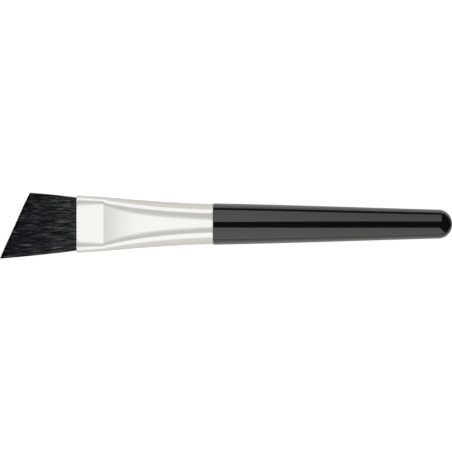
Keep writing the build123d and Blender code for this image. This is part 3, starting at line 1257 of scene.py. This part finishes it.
class FerruleTent(LightTent):
    """A white ceiling that fades to grey, two white side softboxes and a warm grey table."""

    ceiling: ClassVar[float] = 1.16          # light straight above
    fade: ClassVar[float] = 0.265            # lost between the two reaches
    fade_from: ClassVar[float] = 0.61
    fade_to: ClassVar[float] = 1.38
    slow_fade: ClassVar[float] = 0.175       # lost besides for each unit of reach
    slow_length: ClassVar[float] = 1.29
    lean: ClassVar[float] = 3.5              # degrees that the ceiling's middle leans to +Y
    lean_ends: ClassVar[float] = 30.0        # degrees along the brush
    level_half: ClassVar[float] = 3.5        # degrees across, before the ceiling fades
    reach_across: ClassVar[float] = 19.0     # degrees across for each unit of reach
    reach_along: ClassVar[float] = 28.0      # and along
    right_outer: ClassVar[float] = 88.2      # degrees, outer edges of the side softboxes
    right_drift: ClassVar[float] = 9.65      # and their drift for each drift_length
    left_outer: ClassVar[float] = 82.0
    left_drift: ClassVar[float] = 2.4
    drift_length: ClassVar[float] = 0.1
    far_light: ClassVar[float] = 1.2         # of the ceiling, far along the brush
    side_light: ClassVar[float] = 1.17
    right_width: ClassVar[float] = 24.8      # degrees, of the side softboxes
    left_width: ClassVar[float] = 32.9
    colour: ClassVar[tuple[float, float, float]] = (1.0, 0.995, 0.98)
    table_near: ClassVar[tuple[float, float, float]] = (0.846, 0.81, 0.77)
    table_below: ClassVar[tuple[float, float, float]] = (0.735, 0.70, 0.645)

    def ceiling_light(self, angle: np.ndarray, x: np.ndarray) -> np.ndarray:
        """The ceiling fades as a diamond does, with the sum of the angles across and along."""
        middle = (self.place.mouth_x + self.place.round_x) / 2
        along = np.abs(np.degrees(np.arctan2(x - middle, self.radius)))
        centre = self.lean * np.clip(1 - along / self.lean_ends, 0, 1)
        across = np.clip(np.abs(angle - centre) - self.level_half, 0, None)
        reach = across / self.reach_across + along / self.reach_along
        slow = self.slow_fade * np.clip(reach - self.fade_from, 0, self.slow_length)
        level = self.ceiling - self.fade * smooth_step(self.fade_from, self.fade_to, reach) - slow
        return level + (self.far_light - level) * smooth_step(40, 50, along)

    def light(self, angle: np.ndarray, x: np.ndarray) -> np.ndarray:
        """Ceiling between the side softboxes, whose outer edges drift along the brush."""
        drift = np.clip(x / self.drift_length, -2.5, 1)
        right = self.right_outer + self.right_drift * drift
        left = self.left_outer + self.left_drift * drift
        side = between(right - self.right_width, right, angle, 2.0)
        side = side + between(left - self.left_width, left, -angle, 2.0)
        table = smooth_step(-1, 2, angle - right) + smooth_step(-1, 2, -angle - left)
        level = self.ceiling_light(angle, x) * (1 - side) * (1 - table) + self.side_light * side
        down = smooth_step(90, 150, np.abs(angle) + 0 * x)[..., None]
        warm = np.array(self.table_near) * (1 - down) + np.array(self.table_below) * down
        return level[..., None] * np.array(self.colour) + table[..., None] * warm


@dataclass
class Studio:
    """Table, lights, surroundings and camera."""

    place: BrushFrame
    table_radius: float = 5.0
    table_sides: int = 64
    cool: tuple[float, float, float] = (0.89, 0.97, 1.10)   # of the hair's lights
    hair_slant: float = math.radians(16)   # of the hair's main light, towards the handle
    hair_reach: float = 0.6          # from the hair to that light
    camera_height: float = 1.0       # above the brush's axis
    lens: float = 240.0              # mm, on a sensor 36 mm wide
    picture_shift: float = 0.64 * MM   # the axis lies this far above the middle of the view

    def build_table(self) -> bpy.types.Object:
        """A round sheet in rings, just touched by the handle's shoulder."""
        sides = self.table_sides
        turn = np.linspace(0, FULL_TURN, sides, endpoint=False)[None]
        reach = np.array([0.05, 0.2, 0.8, 2.0, self.table_radius])[:, None]
        x, y = reach * np.cos(turn), reach * np.sin(turn)
        rings = np.stack([x, y, np.zeros_like(x)], axis=-1)
        points = np.concatenate([rings.reshape(-1, 3), [[0, 0, 0]]])
        first = np.arange(sides)
        middle = np.stack([np.full(sides, len(points) - 1), first, (first + 1) % sides], axis=-1)
        table = new_mesh_object("table", points, [grid_quads(len(reach), sides)[:, ::-1], middle])
        TABLE.dress(table)
        table.visible_glossy = False
        return table

    def build_area(
        self, name: str, where: tuple[float, float, float], turn: tuple[float, float, float],
        size: tuple[float, float], light: float, receivers: list[bpy.types.Object],
        colour: tuple[float, float, float] = (1.0, 1.0, 1.0),
    ) -> bpy.types.Object:
        """Makes a flat softbox that shines along its own -Z on some pieces only.

        Args:
            name: name of the light.
            where: its middle.
            turn: its rotation in radians.
            size: its sides.
            light: how bright its face is.
            receivers: the pieces it lights.
            colour: linear red, green and blue of its light.

        Returns:
            The light's object.
        """
        lamp = bpy.data.lights.new(name, "AREA")
        lamp.shape = "RECTANGLE"
        lamp.size, lamp.size_y = size
        lamp.energy = light * math.pi * size[0] * size[1]
        lamp.color = colour
        source = bpy.data.objects.new(name, lamp)
        source.location, source.rotation_euler = where, turn
        source.visible_camera = False
        bpy.context.scene.collection.objects.link(source)
        light_only(source, receivers)
        return source

    def build_world(self) -> None:
        """White to the eye and dark to the pieces, which see the tents instead."""
        world = bpy.data.worlds.new("studio")
        world.use_nodes = True
        tree = world.node_tree
        tree.nodes.clear()
        path = add_node(tree, "ShaderNodeLightPath")
        seen = add_node(
            tree,
            "ShaderNodeBackground",
            {"Color": (1.0, 1.0, 1.0, 1.0), "Strength": path.outputs["Is Camera Ray"]},
        )
        add_node(tree, "ShaderNodeOutputWorld", {"Surface": seen.outputs["Background"]})
        bpy.context.scene.world = world

    def build_camera(self) -> bpy.types.Object:
        """Looks straight down on the flat of the brush."""
        lens = bpy.data.cameras.new("camera")
        lens.lens, lens.sensor_width = self.lens, 36.0
        lens.clip_start, lens.clip_end = 0.05, 20.0
        camera = bpy.data.objects.new("camera", lens)
        across = self.place.axis_y - self.picture_shift
        camera.location = (0.0, across, self.place.axis_z + self.camera_height)
        bpy.context.scene.collection.objects.link(camera)
        bpy.context.scene.camera = camera
        return camera

    def build(
        self, handle: bpy.types.Object, ferrule: bpy.types.Object, hair: list[bpy.types.Object]
    ) -> None:
        """Sets up everything round the brush.

        Args:
            handle: the handle, with its own tent.
            ferrule: the ferrule, with its own tent.
            hair: the pieces of the hair, with their own softboxes.
        """
        table = self.build_table()
        tents = {
            HandleTent: ("handle_tent", handle, 0.60, 0.4, 0.06),
            FerruleTent: ("ferrule_tent", ferrule, 0.64, 0.9, 0.9),
        }
        for tent, (name, piece, radius, hair_end, tail_end) in tents.items():
            tent(self.place, name, [piece], radius, hair_end=hair_end, tail_end=tail_end).build()
        self.build_area("table_light", (0, 0, 1.6), (0, 0, 0), (2.4, 2.4), 0.3, [table])
        where = (
            (self.place.tip_x + self.place.mouth_x) / 2 + self.hair_reach * math.sin(self.hair_slant),
            self.place.axis_y,
            self.place.axis_z + self.hair_reach * math.cos(self.hair_slant),
        )
        turn = (0, self.hair_slant, 0)
        self.build_area("hair_light", where, turn, (0.16, 0.9), 3.0, hair, self.cool)
        fill = (0, -0.35, 1.2)
        self.build_area("hair_fill", fill, (0, 0, 0), (2.0, 2.0), 0.95, hair, self.cool)
        self.build_world()
        self.build_camera()
        bpy.context.scene.view_settings.view_transform = "Standard"


def main() -> None:
    """Builds the brush piece by piece, then the studio round it."""
    logging.basicConfig(level=logging.INFO, format="%(name)s: %(message)s")
    place = BrushFrame.read()
    handle = Handle(place).build()
    ferrule = Ferrule(place).build()
    hair = HairBundle(place).build()
    for inside in Inside:
        inside.dress()
    Studio(place).build(handle, ferrule, hair)


if __name__ == "__main__":
    main()
